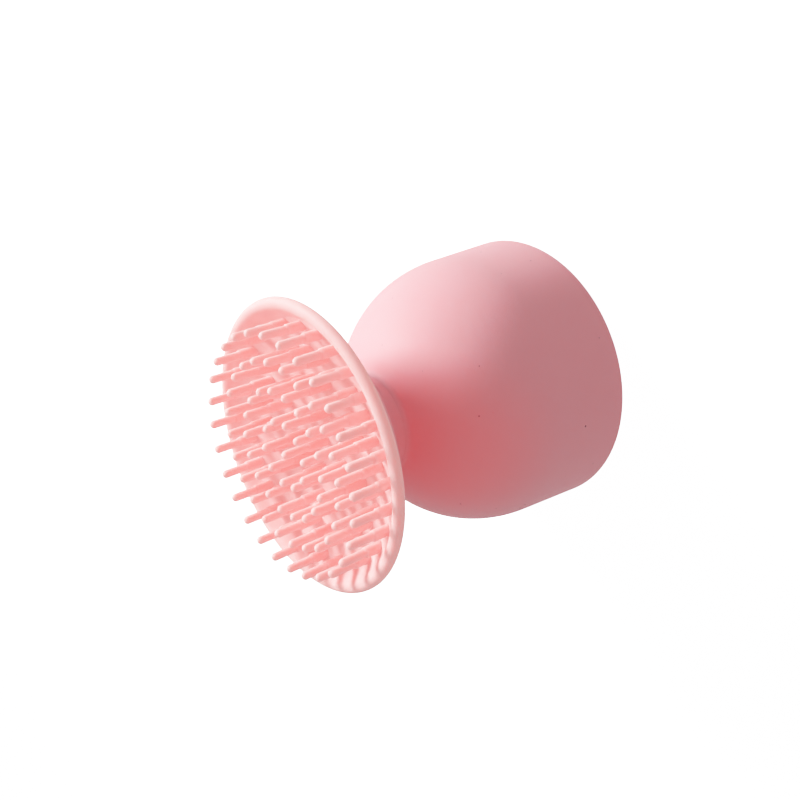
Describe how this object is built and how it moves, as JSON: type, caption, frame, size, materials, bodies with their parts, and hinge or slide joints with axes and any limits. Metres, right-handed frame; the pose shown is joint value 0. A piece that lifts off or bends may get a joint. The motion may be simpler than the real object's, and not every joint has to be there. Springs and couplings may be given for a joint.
{
  "type": "scalp massager brush",
  "caption": "Hand-held scalp massager: a round dish of stepped silicone bristles on a flexible waist, with a ball-shaped grip that ends in a flat face.",
  "frame": {"origin": "centre of the grip's flat end, which is also the bottom centre of the bounding box", "axes": "+Z along the brush's axis, from the flat end of the grip to the bristle tips; +X through a bristle of the outer ring"},
  "size_m": [0.076, 0.076, 0.0846],
  "materials": {
    "skin_silicone": "matte pale pink silicone",
    "pad_silicone": "matte salmon pink silicone, slightly translucent",
    "core_plastic": "moulded, natural white",
    "column_rubber": "firm dark rubber",
    "steel": "stainless"
  },
  "bodies": {
    "grip": {"grip_skin": "skin_silicone", "core_front": "core_plastic", "core_rear": "core_plastic", "end_cap": "skin_silicone", "cap_seal": "column_rubber", "neck_screw": "steel", "neck_washer": "steel", "core_screw_1": "steel", "core_screw_2": "steel", "core_screw_3": "steel"},
    "neck": {"neck_core": "column_rubber", "neck_sleeve": "skin_silicone"},
    "head": {"bristle_pad": "pad_silicone", "head_plate": "core_plastic", "head_screw": "steel", "head_washer": "steel"}
  },
  "joints": [
    {"name": "waist_bend_x", "type": "hinge", "parent": "grip", "child": "neck", "pos_m": [0, 0, 0.057], "axis": [1, 0, 0], "range_deg": [-10, 10], "stiffness_Nm_per_rad": 2.2, "deforming": ["neck_sleeve", "neck_core"]},
    {"name": "waist_bend_y", "type": "hinge", "parent": "neck", "child": "head", "pos_m": [0, 0, 0.057], "axis": [0, 1, 0], "range_deg": [-10, 10], "stiffness_Nm_per_rad": 2.2, "deforming": ["neck_sleeve", "neck_core"]}
  ]
}
